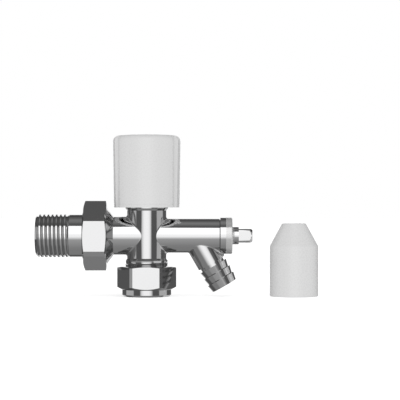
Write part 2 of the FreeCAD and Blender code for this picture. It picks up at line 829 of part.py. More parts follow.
# Main spindle
def build_main_spindle():
    """The rising spindle with its jumper plate, soft washer and screw."""
    spindle = new_piece("main_spindle")
    blind = "jumper_top + jumper_stem_length + free_gap"
    stem_hole = "jumper_stem_radius + running_clearance"
    revolve(spindle, "SpindleTurned", [
        (stem_hole, "spindle_foot"),
        ("spindle_foot_radius", "spindle_foot"),
        ("spindle_foot_radius", "spindle_thread_foot"),
        ("spindle_thread_radius", "spindle_thread_foot"),
        ("spindle_thread_radius", "spindle_thread_top"),
        ("spindle_radius", "spindle_thread_top"),
        ("spindle_radius", "spindle_top"),
        ("0", "spindle_top"),
        ("0", blind),
        (stem_hole, blind),
    ])
    mill_flats(spindle, "SpindleFlat", "spindle_radius", "spindle_square", "spindle_square_foot", "spindle_top")
    place(spindle)

    jumper = new_piece("jumper_plate")
    revolve(jumper, "JumperTurned", [
        ("0", "washer_top"),
        ("jumper_radius", "washer_top"),
        ("jumper_radius", "jumper_top"),
        ("jumper_stem_radius", "jumper_top"),
        ("jumper_stem_radius", "jumper_top + jumper_stem_length"),
        ("0", "jumper_top + jumper_stem_length"),
    ])
    revolve(jumper, "ScrewHole", [
        ("0", "washer_top - overcut"),
        ("screw_radius + running_clearance", "washer_top - overcut"),
        ("screw_radius + running_clearance", "seat_height + screw_length + free_gap"),
        ("0", "seat_height + screw_length + free_gap"),
    ], cut=True)
    place(jumper)

    turned_piece("seat_washer", [
        ("screw_radius + running_clearance", "seat_height"),
        ("seat_washer_radius", "seat_height"),
        ("seat_washer_radius", "washer_top"),
        ("screw_radius + running_clearance", "washer_top"),
    ])

    screw = new_piece("washer_screw")
    revolve(screw, "ScrewTurned", [
        ("0", "seat_height - screw_head_height"),
        ("screw_head_radius", "seat_height - screw_head_height"),
        ("screw_head_radius", "seat_height"),
        ("screw_radius", "seat_height"),
        ("screw_radius", "seat_height + screw_length"),
        ("0", "seat_height + screw_length"),
    ])
    slot = new_sketch(screw, "ScrewSlotOutline", "XY_Plane", ("0", "0", "seat_height - screw_head_height"))
    reach = "(screw_head_radius + overcut)"
    outline(slot, [
        (f"-{reach}", "-screw_slot_width / 2"),
        (reach, "-screw_slot_width / 2"),
        (reach, "screw_slot_width / 2"),
        (f"-{reach}", "screw_slot_width / 2"),
    ])
    pocket(screw, "ScrewSlot", slot, "screw_slot_depth", reverse=True)
    place(screw)


def mill_flats(body, name, radius, flats, start, end):
    """Four flats milled along a round stem, from start to end."""
    sketch = new_sketch(body, name + "Outline", "XY_Plane", ("0", "0", f"{end} + overcut"))
    reach = f"({radius} + overcut)"
    outline(sketch, [
        (f"{flats} / 2", f"-{reach}"),
        (reach, f"-{reach}"),
        (reach, reach),
        (f"{flats} / 2", reach),
    ])
    cut = pocket(body, name, sketch, f"{end} + overcut - ({start})")
    repeat(body, name + "s", cut, SQUARE_SIDES)


# Drain
def build_drain():
    """The drain gland, spindle, jumper and seals, all about the drain arm's axis."""
    gland = new_piece("drain_gland")
    stem_hole = "drain_stem_radius + running_clearance"
    thread_hole = "drain_thread_radius + running_clearance"
    revolve(gland, "GlandTurned", [
        (stem_hole, "gland_nose_start"),
        ("gland_nose_radius", "gland_nose_start"),
        ("gland_nose_radius", "gland_thread_start"),
        ("gland_body", "gland_thread_start"),
        ("gland_body", "drain_arm_length"),
        ("gland_ring_radius", "drain_arm_length"),
        ("gland_ring_radius", "gland_ring_end - gland_ring_rounding"),
        ("gland_ring_radius - gland_ring_rounding", "gland_ring_end"),
        (thread_hole, "gland_ring_end"),
        (thread_hole, "gland_shoulder"),
        (stem_hole, "gland_shoulder"),
        (stem_hole, "gland_groove_start + gland_groove_width"),
        ("gland_groove_radius", "gland_groove_start + gland_groove_width"),
        ("gland_groove_radius", "gland_groove_start"),
        (stem_hole, "gland_groove_start"),
    ])
    place(gland, "0", "arm_height", "90")

    turned_piece("drain_gland_seal", [
        ("drain_chamber_radius + running_clearance", "drain_arm_length - drain_seal_depth"),
        ("drain_seal_recess - running_clearance", "drain_arm_length - drain_seal_depth"),
        ("drain_seal_recess - running_clearance", "drain_arm_length"),
        ("drain_chamber_radius + running_clearance", "drain_arm_length"),
    ], "0", "arm_height", "90")
    ring_piece(
        "drain_o_ring", "drain_stem_radius + drain_ring_section + running_clearance",
        "drain_ring_section", "gland_groove_start + gland_groove_width / 2", "arm_height", "90",
    )

    spindle = new_piece("drain_spindle")
    hole = "drain_jumper_stem_radius + running_clearance"
    blind = "drain_jumper_end + drain_jumper_stem_length + free_gap"
    revolve(spindle, "DrainSpindleTurned", [
        (hole, "drain_stem_start"),
        ("drain_stem_radius", "drain_stem_start"),
        ("drain_stem_radius", "drain_thread_start"),
        ("drain_thread_radius", "drain_thread_start"),
        ("drain_thread_radius", "drain_square_end - drain_square_chamfer"),
        ("drain_thread_radius - drain_square_chamfer", "drain_square_end"),
        ("0", "drain_square_end"),
        ("0", blind),
        (hole, blind),
    ])
    mill_flats(
        spindle, "DrainFlat", "drain_thread_radius", "drain_square_flats",
        "drain_square_start", "drain_square_end",
    )
    place(spindle, "0", "arm_height", "90")

    turned_piece("drain_jumper", [
        ("0", "drain_seat + free_gap"),
        ("drain_nub_radius", "drain_seat + free_gap"),
        ("drain_nub_radius", "drain_washer_end"),
        ("drain_jumper_radius", "drain_washer_end"),
        ("drain_jumper_radius", "drain_jumper_end"),
        ("drain_jumper_stem_radius", "drain_jumper_end"),
        ("drain_jumper_stem_radius", "drain_jumper_end + drain_jumper_stem_length"),
        ("0", "drain_jumper_end + drain_jumper_stem_length"),
    ], "0", "arm_height", "90")
    turned_piece("drain_washer", [
        ("drain_nub_radius + running_clearance", "drain_seat"),
        ("drain_washer_radius", "drain_seat"),
        ("drain_washer_radius", "drain_washer_end"),
        ("drain_nub_radius + running_clearance", "drain_washer_end"),
    ], "0", "arm_height", "90")


# Handwheel
def build_handwheel():
    """The moulded wheel: a fluted shell, a hub with a square socket, ribs and a snap sleeve."""
    wheel = new_piece("handwheel")
    revolve(wheel, "WheelOuter", [
        ("0", "wheel_foot"),
        ("wheel_foot_radius - wheel_lip_step", "wheel_foot"),
        ("wheel_foot_radius - wheel_lip_step", "wheel_foot + wheel_lip_height"),
        ("wheel_foot_radius", "wheel_foot + wheel_lip_height"),
        ("wheel_top_radius", "wheel_top"),
        ("0", "wheel_top"),
    ])
    rim = edges_where(wheel, lambda edge: is_circle(edge, "wheel_top_radius", "wheel_top"))
    dress(wheel, "Fillet", "RimRounding", rim, "wheel_rounding")
    flute = new_sketch(wheel, "FluteOutline", "XY_Plane", ("0", "0", "wheel_top + overcut"))
    circle(flute, "0", "flute_offset", "flute_radius")
    cut = pocket(wheel, "Flute", flute, "wheel_top - wheel_foot + 2 * overcut")
    repeat(wheel, "Flutes", cut, "flute_count")
    revolve(wheel, "WheelHollow", [
        ("0", "wheel_foot - overcut"),
        ("wheel_inner", "wheel_foot - overcut"),
        ("wheel_inner", "wheel_ceiling - wheel_rounding / 2"),
        ("wheel_inner - wheel_rounding / 2", "wheel_ceiling"),
        ("0", "wheel_ceiling"),
    ], cut=True)
    revolve(wheel, "Hub", [
        ("0", "wheel_hub_foot"),
        ("wheel_hub_radius", "wheel_hub_foot"),
        ("wheel_hub_radius", "wheel_ceiling + wheel_roof / 2"),
        ("0", "wheel_ceiling + wheel_roof / 2"),
    ])
    rib = new_sketch(wheel, "RibOutline", "XY_Plane", ("0", "0", "wheel_rib_foot"))
    outline(rib, [
        ("-wheel_rib_thickness / 2", "wheel_hub_radius - wheel_rib_thickness"),
        ("wheel_rib_thickness / 2", "wheel_hub_radius - wheel_rib_thickness"),
        ("wheel_rib_thickness / 2", "wheel_inner + wheel_rib_root"),
        ("-wheel_rib_thickness / 2", "wheel_inner + wheel_rib_root"),
    ])
    ribs = pad(wheel, "Rib", rib, "wheel_ceiling - wheel_rib_foot + wheel_roof / 2")
    repeat(wheel, "Ribs", ribs, "wheel_rib_count")
    revolve(wheel, "SnapSleeve", [
        ("sleeve_inner_radius", "sleeve_foot"),
        ("sleeve_outer", "sleeve_foot"),
        ("sleeve_outer", "sleeve_top"),
        ("sleeve_inner_radius", "sleeve_top"),
    ])
    lug_foot = "snap_groove_foot + snap_lug_side_gap"
    lug = new_sketch(wheel, "SnapLugOutline", "XY_Plane", ("0", "0", lug_foot))
    outline(lug, [
        ("-snap_lug_width / 2", "snap_lug_radius"),
        ("snap_lug_width / 2", "snap_lug_radius"),
        ("snap_lug_width / 2", "sleeve_inner_radius + sleeve_wall / 2"),
        ("-snap_lug_width / 2", "sleeve_inner_radius + sleeve_wall / 2"),
    ])
    lugs = pad(wheel, "SnapLug", lug, "snap_groove_width - 2 * snap_lug_side_gap")
    repeat(wheel, "SnapLugs", lugs, "flute_count")
    socket = new_sketch(wheel, "SocketOutline", "XY_Plane", ("0", "0", "wheel_rib_foot - overcut"))
    square = "spindle_square + 2 * running_clearance"
    outline(socket, polygon_points(square, SQUARE_SIDES, FULL_TURN / SQUARE_SIDES / 2))
    pocket(wheel, "Socket", socket, "wheel_socket_top - wheel_rib_foot + overcut", reverse=True)
    relief_top = "spindle_square_foot + spindle_lift + free_gap"
    revolve(wheel, "SocketRelief", [
        ("0", "wheel_rib_foot - overcut"),
        ("spindle_radius + free_gap", "wheel_rib_foot - overcut"),
        ("spindle_radius + free_gap", relief_top),
        ("0", relief_top),
    ], cut=True)
    place(wheel)


# Lockshield cap
def build_cap():
    """The loose cap: a thin shell, straight then tapering to a flat top, with a snap bead."""
    body = new_piece("lockshield_cap")
    revolve(body, "CapShell", [
        ("cap_inner", "0"),
        ("cap_radius - cap_edge_bevel", "0"),
        ("cap_radius", "cap_edge_bevel"),
        ("cap_radius", "cap_straight"),
        ("cap_top_radius", "cap_height - cap_edge_bevel"),
        ("cap_top_radius - cap_edge_bevel", "cap_height"),
        ("0", "cap_height"),
        ("0", "cap_height - cap_wall"),
        ("cap_inner_top", "cap_height - cap_wall"),
        ("cap_inner", "cap_straight"),
        ("cap_inner", "cap_bead_height + cap_bead_rise"),
        ("cap_inner - cap_bead_rise", "cap_bead_height"),
        ("cap_inner", "cap_bead_height - cap_bead_rise"),
    ])
    place(body, "cap_distance")


def check_pieces(pieces):
    """Stops if any object has failed or any piece is not one sound solid."""
    for thing in doc.Objects:
        if "Invalid" in thing.State or "Error" in thing.State:
            raise RuntimeError(f"{thing.Name} failed")
    for piece in pieces:
        shape = piece.Shape
        if shape.isNull() or not shape.isValid() or not shape.Solids:
            raise RuntimeError(f"{piece.Label} has no sound solid")


def main():
    fill_sheet()
    build_body()
    build_union()
    build_compression()
    build_headwork()
    build_main_spindle()
    build_drain()
    build_handwheel()
    build_cap()
    doc.recompute()
    kinds = ("PartDesign::Body", "Part::Torus")
    pieces = [thing for thing in doc.Objects if thing.TypeId in kinds]
    check_pieces(pieces)
    os.makedirs("parts", exist_ok=True)
    for piece in pieces:
        piece.Shape.exportStep(f"parts/{piece.Label}.step")


main()
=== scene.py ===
import json
import math
from collections import namedtuple

import bmesh
import bpy
from mathutils import Matrix, Vector


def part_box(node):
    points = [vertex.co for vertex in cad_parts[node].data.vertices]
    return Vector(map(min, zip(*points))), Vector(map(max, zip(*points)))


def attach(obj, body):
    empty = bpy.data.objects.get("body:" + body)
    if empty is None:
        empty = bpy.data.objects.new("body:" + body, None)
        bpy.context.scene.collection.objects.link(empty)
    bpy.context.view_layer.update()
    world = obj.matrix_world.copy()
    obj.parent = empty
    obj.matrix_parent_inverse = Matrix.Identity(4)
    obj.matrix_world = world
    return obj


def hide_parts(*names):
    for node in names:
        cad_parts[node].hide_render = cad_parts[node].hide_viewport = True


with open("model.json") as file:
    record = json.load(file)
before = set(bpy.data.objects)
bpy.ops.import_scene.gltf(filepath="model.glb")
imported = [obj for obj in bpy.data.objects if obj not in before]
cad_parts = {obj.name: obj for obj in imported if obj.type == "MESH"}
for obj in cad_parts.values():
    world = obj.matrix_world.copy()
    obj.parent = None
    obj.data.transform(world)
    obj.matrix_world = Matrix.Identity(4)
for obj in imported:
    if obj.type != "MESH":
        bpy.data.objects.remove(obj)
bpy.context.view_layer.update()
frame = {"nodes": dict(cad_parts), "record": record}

MM = 0.001

# The camera looks level along +Y. Its place follows from where the valve's upright axis and foot
# are in the photograph, and from the scale there.
PIXELS_PER_MM = 2.07
IMAGE_PIXELS = 400
AXIS_PIXEL_X = 146.8
FOOT_PIXEL_Y = 296.2
CAMERA_DISTANCE = 750 * MM
NEAREST_SEEN = 10 * MM
SENSOR_WIDTH = 36.0


def photo_length(pixels):
    """The real length, at the valve, of a length in the photograph."""
    return pixels / PIXELS_PER_MM * MM


def build_camera():
    data = bpy.data.cameras.new("camera")
    camera = bpy.data.objects.new("camera", data)
    bpy.context.scene.collection.objects.link(camera)
    across = photo_length(IMAGE_PIXELS / 2 - AXIS_PIXEL_X)
    height = photo_length(FOOT_PIXEL_Y - IMAGE_PIXELS / 2)
    camera.location = (across, -CAMERA_DISTANCE, height)
    camera.rotation_euler = (math.radians(90), 0, 0)
    data.sensor_width = SENSOR_WIDTH
    data.lens = SENSOR_WIDTH * CAMERA_DISTANCE / photo_length(IMAGE_PIXELS)
    data.clip_start = NEAREST_SEEN
    bpy.context.scene.camera = camera


class Nodes:
    """Builds a node tree from short calls. A socket is given as a number or as another socket."""

    def __init__(self, tree):
        self.tree = tree
        tree.nodes.clear()

    def add(self, kind, inputs=None, **settings):
        node = self.tree.nodes.new(kind)
        for name, setting in settings.items():
            setattr(node, name, setting)
        for name, source in (inputs or {}).items():
            self.feed(node.inputs[name], source)
        return node

    def feed(self, socket, source):
        if isinstance(source, bpy.types.NodeSocket):
            self.tree.links.new(source, socket)
        else:
            socket.default_value = source

    def math(self, operation, first, second=0.0):
        node = self.add("ShaderNodeMath", operation=operation)
        self.feed(node.inputs[0], first)
        self.feed(node.inputs[1], second)
        return node.outputs[0]

    def product(self, first, *others):
        for other in others:
            first = self.math("MULTIPLY", first, other)
        return first

    def mix(self, share, first, second):
        """first where share is 0, second where it is 1."""
        inputs = {"Factor": share, "A": first, "B": second}
        return self.add("ShaderNodeMix", inputs, data_type="FLOAT").outputs["Result"]

    def smooth(self, source, edge, start=0.0, end=1.0):
        """Goes smoothly from start to end as source goes from the edge's one end to its other."""
        low, high = edge
        node = self.add(
            "ShaderNodeMapRange",
            {"Value": source, "From Min": low, "From Max": high, "To Min": start, "To Max": end},
            interpolation_type="SMOOTHSTEP",
        )
        return node.outputs["Result"]

    def ramp(self, source, stops):
        """A ramp through stops, each a place from 0 to 1 and a level or a colour."""
        node = self.add("ShaderNodeValToRGB", {"Fac": source})
        elements = node.color_ramp.elements
        while len(elements) > 1:
            elements.remove(elements[-1])
        for index, (place, level) in enumerate(stops):
            element = elements[0] if index == 0 else elements.new(place)
            element.position = place
            element.color = level if isinstance(level, tuple) else (level, level, level, 1)
        return node.outputs["Color"]

    def ramp_degrees(self, angle, stops, span=90.0):
        """A ramp over an angle from 0 to span, with the places of its stops in degrees."""
        share = self.math("DIVIDE", angle, span)
        return self.ramp(share, [(degrees / span, level) for degrees, level in stops])


# The studio is what polished metal mirrors, by direction. Azimuth is counted in degrees to both
# sides from the camera's side, elevation in degrees up from the horizon. A stop is a place and a
# level, where 1 is white. An edge is the two places between which one level passes into another.
# The ring's stops go by azimuth, all others by elevation.
RING_STOPS = (
    (0.0, 1.0), (11.0, 0.98), (16.0, 0.9), (21.0, 0.77), (25.5, 0.55), (28.5, 0.25), (31.0, 0.09),
    (59.5, 0.09), (64.0, 0.42), (106.0, 0.43), (111.0, 0.09), (180.0, 0.09),
)
# The next two multiply the ring's level, the second one at its sides.
PANEL_STOPS = ((0.0, 1.0), (6.0, 1.02), (16.0, 1.25), (90.0, 1.25))
SIDE_PANEL_STOPS = ((0.0, 1.0), (8.0, 1.0), (28.0, 0.6), (90.0, 0.6))
SIDE_PANEL_EDGE = (40.0, 50.0)
PANEL_TOP = (53.0, 56.0)
BACK_PANEL_SIDE = (156.5, 159.5)
BACK_PANEL_TOP = (26.5, 29.5)
TOP_STOPS = ((0.0, 0.09), (68.0, 0.095), (76.0, 0.15), (90.0, 0.2))

# On the floor a stop's place is in degrees down from the horizon. The floor's own edge, where the
# walls begin, is soft in front and crisp elsewhere.
FLOOR_STOPS = (
    (0.0, 0.46), (16.0, 0.44), (23.0, 0.335), (37.0, 0.3), (51.0, 0.265),
    (67.0, 0.225), (90.0, 0.205),
)
BACK_FLOOR_STOPS = ((0.0, 0.08), (48.0, 0.08), (57.0, 0.2), (90.0, 0.21))
SIDE_FLOOR = 0.205
SIDE_FLOOR_EDGE = (20.0, 36.0)
BACK_FLOOR_EDGE = (80.0, 100.0)
SOFT_FOOT = (-22.0, -1.0)
CRISP_FOOT = (-10.5, -7.5)
CRISP_FOOT_EDGE = (27.0, 31.0)

# Two grey cards lie on the floor, one on the drain side and one behind. The inner edge of the
# first goes by how much of the direction points along the drain arm.
CARD_LEVEL = 0.52
SIDE_CARD_FRONT = (36.0, 44.0)
SIDE_CARD_INNER = (0.2, 0.35)
SIDE_CARD_FOOT = (-50.0, -44.0)
SIDE_CARD_TOP = (-15.0, -11.0)
BACK_CARD_SIDE = (144.0, 154.0)
BACK_CARD_FOOT = (-32.0, -26.0)

# Light on what doesn't mirror, by the share of a direction that goes to the camera's side.
FRONT_LIGHT = 0.92
SIDE_LIGHT = 0.45
BACK_LIGHT = 0.6
FRONT_LIGHT_EDGE = (-0.5, 0.5)
BACK_LIGHT_EDGE = (-0.95, -0.6)


def card_share(nodes, azimuth, elevation, to_drain):
    """1 in the directions of the two cards and 0 elsewhere."""
    side = nodes.product(
        nodes.smooth(azimuth, SIDE_CARD_FRONT),
        nodes.smooth(to_drain, SIDE_CARD_INNER),
        nodes.smooth(elevation, SIDE_CARD_FOOT),
        nodes.smooth(elevation, SIDE_CARD_TOP, 1.0, 0.0),
    )
    back = nodes.product(
        nodes.smooth(azimuth, BACK_CARD_SIDE),
        nodes.smooth(elevation, BACK_CARD_FOOT),
    )
    return nodes.math("MAXIMUM", side, back)


def studio_floor(nodes, azimuth, elevation, to_drain):
    """What metal mirrors from below: a floor that is paler in front, and the cards on it."""
    depth = nodes.math("MULTIPLY", elevation, -1.0)
    front = nodes.mix(
        nodes.smooth(azimuth, SIDE_FLOOR_EDGE),
        nodes.ramp_degrees(depth, FLOOR_STOPS),
        SIDE_FLOOR,
    )
    back = nodes.ramp_degrees(depth, BACK_FLOOR_STOPS)
    bare = nodes.mix(nodes.smooth(azimuth, BACK_FLOOR_EDGE), front, back)
    return nodes.mix(card_share(nodes, azimuth, elevation, to_drain), bare, CARD_LEVEL)


def studio_walls(nodes, azimuth, elevation):
    """What metal mirrors from the sides and above: a ring of panels under a dark top."""
    ring = nodes.ramp_degrees(azimuth, RING_STOPS, 180.0)
    rise = nodes.mix(
        nodes.smooth(azimuth, SIDE_PANEL_EDGE),
        nodes.ramp_degrees(elevation, PANEL_STOPS),
        nodes.ramp_degrees(elevation, SIDE_PANEL_STOPS),
    )
    back_panel = nodes.product(
        nodes.smooth(azimuth, BACK_PANEL_SIDE),
        nodes.smooth(elevation, BACK_PANEL_TOP, 1.0, 0.0),
    )
    panels = nodes.mix(back_panel, nodes.product(ring, rise), 1.0)
    top = nodes.ramp_degrees(elevation, TOP_STOPS)
    return nodes.mix(nodes.smooth(elevation, PANEL_TOP), panels, top)


def mirrored_light(nodes, to_camera, to_drain, upward):
    """The studio. Its walls meet the floor in a soft edge in front and a crisp one elsewhere."""
    turn = nodes.math("ABSOLUTE", nodes.math("ARCTAN2", to_drain, to_camera))
    azimuth = nodes.math("DEGREES", turn)
    elevation = nodes.math("DEGREES", nodes.math("ARCSINE", upward))
    over_floor = nodes.mix(
        nodes.smooth(azimuth, CRISP_FOOT_EDGE),
        nodes.smooth(elevation, SOFT_FOOT),
        nodes.smooth(elevation, CRISP_FOOT),
    )
    floor = studio_floor(nodes, azimuth, elevation, to_drain)
    return nodes.mix(over_floor, floor, studio_walls(nodes, azimuth, elevation))


def soft_light(nodes, to_camera):
    """Light on what doesn't mirror: strongest in front, weak at the sides, stronger behind."""
    front = nodes.smooth(to_camera, FRONT_LIGHT_EDGE, SIDE_LIGHT, FRONT_LIGHT)
    behind = nodes.smooth(to_camera, BACK_LIGHT_EDGE, BACK_LIGHT, 0.0)
    return nodes.math("ADD", front, behind)


def build_world():
    world = bpy.data.worlds.new("studio")
    bpy.context.scene.world = world
    world.use_nodes = True
    nodes = Nodes(world.node_tree)
    direction = nodes.add("ShaderNodeTexCoord").outputs["Generated"]
    parts = nodes.add("ShaderNodeSeparateXYZ", {"Vector": direction}).outputs
    to_camera = nodes.math("MULTIPLY", parts["Y"], -1.0)
    mirrored = mirrored_light(nodes, to_camera, parts["X"], parts["Z"])
    rays = nodes.add("ShaderNodeLightPath").outputs
    light = nodes.mix(rays["Is Glossy Ray"], soft_light(nodes, to_camera), mirrored)
    light = nodes.mix(rays["Is Camera Ray"], light, 1.0)
    background = nodes.add("ShaderNodeBackground", {"Color": (1, 1, 1, 1), "Strength": light})
    nodes.add("ShaderNodeOutputWorld", {"Surface": background.outputs[0]})


def new_material(name):
    material = bpy.data.materials.new(name)
    material.use_nodes = True
    return material, Nodes(material.node_tree)


def finish_material(nodes, settings):
    shader = nodes.add("ShaderNodeBsdfPrincipled", settings)
    nodes.add("ShaderNodeOutputMaterial", {"Surface": shader.outputs[0]})


FLOOR_HALF_SIZE = 3.0
FLOOR_COLOUR = 0.82
FLOOR_GLOW = 0.6


def make_floor_paper():
    """White paper, with a glow for the camera alone that takes it to the background's white."""
    material, nodes = new_material("floor_paper")
    rays = nodes.add("ShaderNodeLightPath").outputs
    finish_material(nodes, {
        "Base Color": (FLOOR_COLOUR, FLOOR_COLOUR, FLOOR_COLOUR, 1),
        "Roughness": 0.9,
        "Specular IOR Level": 0.0,
        "Emission Color": (1, 1, 1, 1),
        "Emission Strength": nodes.product(rays["Is Camera Ray"], FLOOR_GLOW),
    })
    return material


def build_floor():
    """The paper takes the valve's shadow. Metal mirrors the studio's own floor in its place."""
    mesh = bpy.data.meshes.new("floor")
    half = FLOOR_HALF_SIZE
    corners = [(-half, -half, 0), (half, -half, 0), (half, half, 0), (-half, half, 0)]
    mesh.from_pydata(corners, [], [(0, 1, 2, 3)])
    floor = bpy.data.objects.new("floor", mesh)
    bpy.context.scene.collection.objects.link(floor)
    floor.visible_glossy = False
    floor.visible_diffuse = False
    mesh.materials.append(make_floor_paper())


# Between these two lie nearly all values of a noise.
NOISE_SPREAD = (0.3, 0.7)


def object_noise(nodes, scale, detail):
    place = nodes.add("ShaderNodeTexCoord").outputs["Object"]
    inputs = {"Vector": place, "Scale": scale, "Detail": detail}
    return nodes.add("ShaderNodeTexNoise", inputs).outputs[0]


def bump(nodes, height, strength, distance):
    inputs = {"Height": height, "Strength": strength, "Distance": distance}
    return nodes.add("ShaderNodeBump", inputs).outputs[0]


PLATE = (0.87, 0.87, 0.875, 1)
# Painted shade and glow: plate as other plate mirrors it is darker than it is, and glows faintly
# though it is no lamp.
PAINTED_DARK_PLATE_IN_REFLECTIONS = (0.3, 0.3, 0.3, 1)
PAINTED_GLOW_IN_REFLECTIONS = 0.03


def make_chrome():
    """Bright plate: a mirror with clouds in its gloss. Where other plate mirrors it, it has a painted
    darker colour and a faint painted glow.
    """
    material, nodes = new_material("chrome_plate")
    cloud = object_noise(nodes, scale=90.0, detail=1.0)
    mirrored = nodes.add("ShaderNodeLightPath").outputs["Is Glossy Ray"]
    finish_material(nodes, {
        # Painted shade: the colour drops to the dark copy on glossy rays only.
        "Base Color": nodes.ramp(mirrored, [(0.0, PLATE), (1.0, PAINTED_DARK_PLATE_IN_REFLECTIONS)]),
        "Metallic": 1.0,
        "Roughness": nodes.smooth(cloud, NOISE_SPREAD, 0.045, 0.075),
        "Emission Color": (1, 1, 1, 1),
        # Painted glow: a faint emission on glossy rays only.
        "Emission Strength": nodes.product(mirrored, PAINTED_GLOW_IN_REFLECTIONS),
    })
    return material


def make_satin():
    """The gland's plate, with a fine dull grain."""
    material, nodes = new_material("satin_metal")
    grain = object_noise(nodes, scale=900.0, detail=2.0)
    finish_material(nodes, {
        "Base Color": (0.8, 0.8, 0.8, 1),
        "Metallic": 0.55,
        "Roughness": nodes.smooth(grain, NOISE_SPREAD, 0.12, 0.2),
        "Normal": bump(nodes, grain, strength=0.1, distance=0.05 * MM),
    })
    return material


def make_brass():
    """Bare brass, as the inner pieces come off the lathe."""
    material, nodes = new_material("turned_brass")
    grain = object_noise(nodes, scale=500.0, detail=3.0)
    finish_material(nodes, {
        "Base Color": (0.78, 0.6, 0.3, 1),
        "Metallic": 1.0,
        "Roughness": nodes.smooth(grain, NOISE_SPREAD, 0.22, 0.34),
        "Normal": bump(nodes, grain, strength=0.08, distance=0.05 * MM),
    })
    return material


def make_white():
    """White moulded plastic, glossy but for a very fine skin."""
    material, nodes = new_material("white_plastic")
    skin = object_noise(nodes, scale=1600.0, detail=2.0)
    finish_material(nodes, {
        "Base Color": (0.82, 0.82, 0.82, 1),
        "Roughness": nodes.smooth(skin, NOISE_SPREAD, 0.24, 0.32),
        "IOR": 1.5,
        "Normal": bump(nodes, skin, strength=0.015, distance=0.03 * MM),
    })
    return material


def make_rubber():
    material, nodes = new_material("black_rubber")
    skin = object_noise(nodes, scale=1200.0, detail=2.0)
    finish_material(nodes, {
        "Base Color": (0.03, 0.03, 0.03, 1),
        "Roughness": nodes.smooth(skin, NOISE_SPREAD, 0.55, 0.7),
        "Normal": bump(nodes, skin, strength=0.15, distance=0.04 * MM),
    })
    return material


FIBRE_DARK = (0.3, 0.08, 0.05, 1)
FIBRE_LIGHT = (0.5, 0.17, 0.1, 1)


def make_fibre():
    """Red pressed fibre, flecked."""
    material, nodes = new_material("pressed_fibre")
    fleck = object_noise(nodes, scale=1500.0, detail=4.0)
    finish_material(nodes, {
        "Base Color": nodes.ramp(fleck, zip(NOISE_SPREAD, (FIBRE_DARK, FIBRE_LIGHT))),
        "Roughness": 0.8,
        "Normal": bump(nodes, fleck, strength=0.2, distance=0.05 * MM),
    })
    return material


def make_materials():
    """One material for each slot of the record."""
    return {
        "chrome": make_chrome(),
        "satin_metal": make_satin(),
        "brass": make_brass(),
        "white_plastic": make_white(),
        "rubber": make_rubber(),
        "fibre": make_fibre(),
    }


def dress_nodes(materials):
    """Gives each carried-over solid the finish of its slot."""
    for part in frame["record"]["subparts"]:
        mesh = frame["nodes"][part["node"]].data
        mesh.materials.clear()
        mesh.materials.append(materials[part["material_slot"]])


# A turned piece is a stack of rings about its axis. A ring has a radius and a place along the
# axis for each column, in millimetres.
COLUMNS = 96
WELD = 1e-7
SHARP_ANGLE = math.radians(32)


def column_angle(column):
    return 2 * math.pi * column / COLUMNS


def plain_rows(points):
    """A level ring for each radius and place. A radius may be a function of the angle."""
    rows = []
    for radius, along in points:
        ring = []
        for column in range(COLUMNS + 1):
            reach = radius(column_angle(column)) if callable(radius) else radius
            ring.append((reach, along))
        rows.append(ring)
    return rows


def ring_surface(rows, closed):
    """A surface through rings about Z, in metres. A closed one goes back to its first ring."""
    surface = bmesh.new()
    grid = []
    for ring in rows:
        line = []
        for column, (radius, along) in enumerate(ring):
            angle = column_angle(column)
            spot = Vector((radius * math.cos(angle), radius * math.sin(angle), along)) * MM
            line.append(surface.verts.new(spot))
        grid.append(line)
    if closed:
        grid.append(grid[0])
    for lower, upper in zip(grid, grid[1:]):
        for column in range(COLUMNS):
            ends = (lower[column], lower[column + 1], upper[column + 1], upper[column])
            surface.faces.new(ends)
    return surface


def turned_piece(name, rows, matrix, material, closed=False):
    """The surface through the rings, welded where they meet and put in place by a matrix."""
    surface = ring_surface(rows, closed)
    bmesh.ops.remove_doubles(surface, verts=surface.verts, dist=WELD)
    bmesh.ops.dissolve_degenerate(surface, edges=surface.edges, dist=WELD)
    bmesh.ops.recalc_face_normals(surface, faces=surface.faces)
    bmesh.ops.transform(surface, matrix=matrix, verts=surface.verts)
    mesh = bpy.data.meshes.new(name)
    surface.to_mesh(mesh)
    surface.free()
    mesh.shade_smooth()
    mesh.set_sharp_from_angle(angle=SHARP_ANGLE)
    mesh.materials.append(material)
    piece = bpy.data.objects.new(name, mesh)
    bpy.context.scene.collection.objects.link(piece)
    return piece


def polygon_radius(flats, sides, limit=math.inf, turn=0.0):
    """How far a polygon that is flats wide reaches at an angle, and no more than limit."""
    sector = 2 * math.pi / sides

    def reach(angle):
        off_flat = (angle + turn + sector / 2) % sector - sector / 2
        return min(flats / 2 / math.cos(off_flat), limit)
    return reach


# One turn of a thread's outline: the share of the pitch and the share of the height above the
# root, in the order in which they follow each other.
SHARP_TOPPED = ((0.0, 0.0), (0.4, 0.9), (0.5, 1.0), (0.6, 0.9))
FLAT_TOPPED = (
    (0.135, 1.0), (0.185, 0.85), (0.375, 0.1), (0.455, 0.0), (0.535, 0.1), (0.725, 0.85), (0.775, 1.0),
)
FINNED = ((0.215, 0.55), (0.355, 1.0), (0.495, 0.1), (0.555, 0.0))
ROUND_STEPS = 8
ROUNDED = tuple(
    (step / ROUND_STEPS, 0.5 - 0.5 * math.cos(2 * math.pi * step / ROUND_STEPS))
    for step in range(ROUND_STEPS)
)

# A thread grows from its start radius over half a pitch, and a chamfer takes it down to its end
# radius. Both ends are places along the axis.
Thread = namedtuple("Thread", "outline root crest pitch start end start_radius end_radius chamfer")


def thread_radius(thread, rise, along):
    """The radius at a place along the axis, for a point of the outline with this rise."""
    if along == thread.end:
        return thread.end_radius
    full = thread.root + (thread.crest - thread.root) * rise
    grown = min((along - thread.start) / (thread.pitch / 2), 1.0)
    radius = thread.start_radius + (full - thread.start_radius) * grown
    if along > thread.end - thread.chamfer:
        radius = min(radius, thread.end_radius + (thread.end - along))
    return radius


